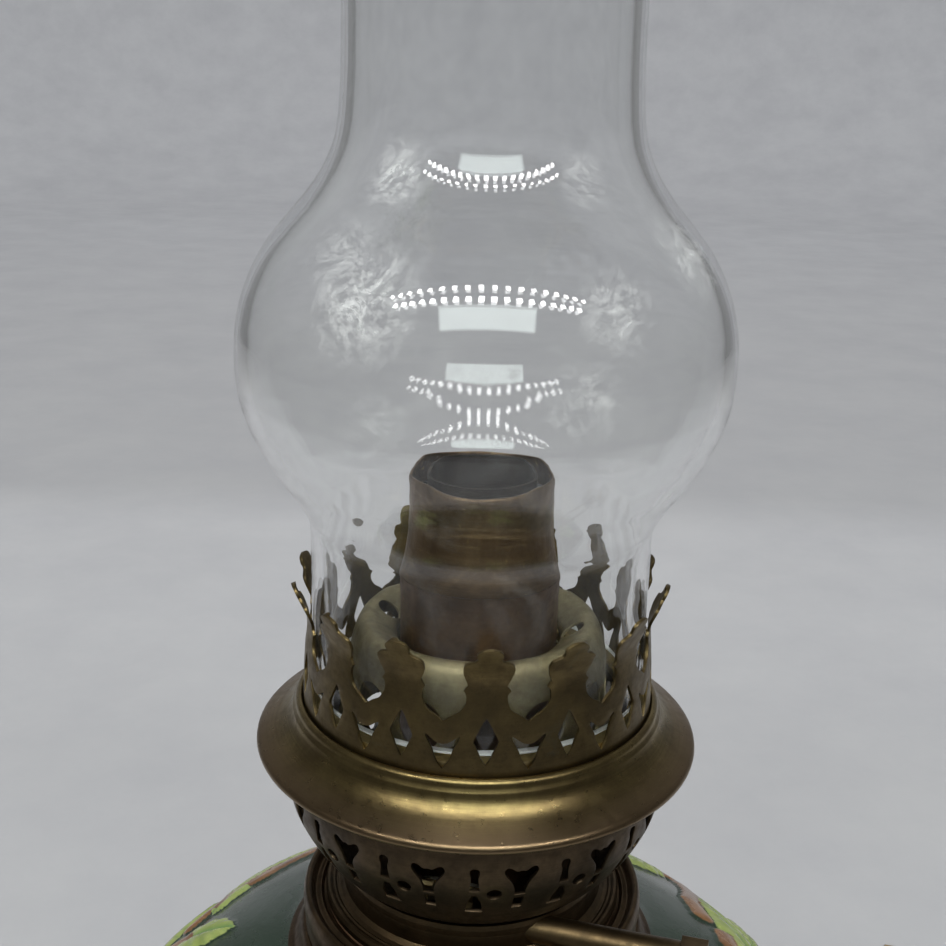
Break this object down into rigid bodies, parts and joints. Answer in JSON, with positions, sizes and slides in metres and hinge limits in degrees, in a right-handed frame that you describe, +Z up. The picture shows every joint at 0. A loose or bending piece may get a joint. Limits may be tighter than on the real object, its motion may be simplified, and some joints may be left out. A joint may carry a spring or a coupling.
{
  "type": "oil lamp",
  "caption": "Table oil lamp with a round-wick burner, pronged gallery, bulged clear chimney and a glazed ceramic body on a brass foot.",
  "frame": {"origin": "centre of the foot's underside", "axes": "+Z up along the lamp's axis, front of the lamp at -Y, winder towards +X"},
  "size_m": [0.1588, 0.1588, 0.4745],
  "materials": {
    "clear_glass": "clear",
    "crown_brass": "patinated satin",
    "flange_brass": "spun satin",
    "seat_brass": "satin",
    "basket_brass": "patinated",
    "dome_brass": "matt",
    "nozzle_brass": "heat darkened",
    "sleeve_brass": "heat darkened",
    "draft_brass": "sooty",
    "duct_brass": "dull",
    "cotton_wick": "woven, charred at the top",
    "pot_brass": "patinated",
    "thread_brass": "turned",
    "seal_leather": "oiled",
    "spindle_brass": "satin",
    "wheel_brass": "cut",
    "gland_brass": "satin",
    "nut_brass": "satin",
    "knob_brass": "milled",
    "bearing_brass": "dull",
    "collar_brass": "patinated",
    "font_brass": "drawn",
    "mount_brass": "patinated",
    "green_glaze": "gloss glaze with raised leaves",
    "cup_brass": "patinated",
    "foot_brass": "patinated",
    "weight_iron": "rough",
    "rod_steel": "dull",
    "washer_steel": "dull",
    "nut_steel": "dull"
  },
  "bodies": {
    "lamp_body": {"ceramic_body": "green_glaze", "mount_ring": "mount_brass", "base_cup": "cup_brass", "base_foot": "foot_brass", "base_weight": "weight_iron", "tie_rod": "rod_steel", "tie_washers": "washer_steel", "tie_nuts": "nut_steel"},
    "font": {"font_reservoir": "font_brass", "font_collar": "collar_brass"},
    "seal": {"burner_seal": "seal_leather"},
    "burner": {"burner_body": "pot_brass", "burner_thread_ring": "thread_brass", "air_basket": "basket_brass", "air_diffuser": "dome_brass", "wick_tube_sleeve": "sleeve_brass", "wick_tube_nozzle": "nozzle_brass", "draft_tube": "draft_brass", "air_port_duct": "duct_brass", "winder_gland": "gland_brass", "gland_nut": "nut_brass", "spindle_bearing": "bearing_brass"},
    "winder": {"winder_spindle": "spindle_brass", "wick_wheels": "wheel_brass", "winder_knob": "knob_brass"},
    "wick_body": {"wick": "cotton_wick"},
    "gallery": {"gallery_crown": "crown_brass", "gallery_flange": "flange_brass", "gallery_seat": "seat_brass"},
    "chimney": {"chimney_glass": "clear_glass"}
  },
  "joints": [
    {"name": "font_lift", "type": "slide", "parent": "lamp_body", "child": "font", "axis": [0, 0, 1], "range_m": [0, 0.1]},
    {"name": "burner_rise", "type": "slide", "parent": "font", "child": "seal", "axis": [0, 0, 1], "range_m": [0, 0.0061]},
    {"name": "burner_unscrew", "type": "hinge", "parent": "seal", "child": "burner", "pos_m": [0, 0, 0.185], "axis": [0, 0, 1], "range_deg": [0, 1080]},
    {"name": "winder_turn", "type": "hinge", "parent": "burner", "child": "winder", "pos_m": [-0.00388, -0.01449, 0.1897], "axis": [0.9659, -0.2588, 0], "range_deg": [-150, 60]},
    {"name": "wick_raise", "type": "slide", "parent": "burner", "child": "wick_body", "axis": [0, 0, 1], "range_m": [-0.0116, 0.0046]},
    {"name": "gallery_lift", "type": "slide", "parent": "burner", "child": "gallery", "axis": [0, 0, 1], "range_m": [0, 0.075]},
    {"name": "chimney_lift", "type": "slide", "parent": "gallery", "child": "chimney", "axis": [0, 0, 1], "range_m": [0, 0.06]}
  ],
  "couplings": [
    {"joint": "burner_rise", "follows": "burner_unscrew", "m_per_rad": 0.00031831},
    {"joint": "winder_turn", "follows": "wick_raise", "rad_per_m": 224.72}
  ]
}
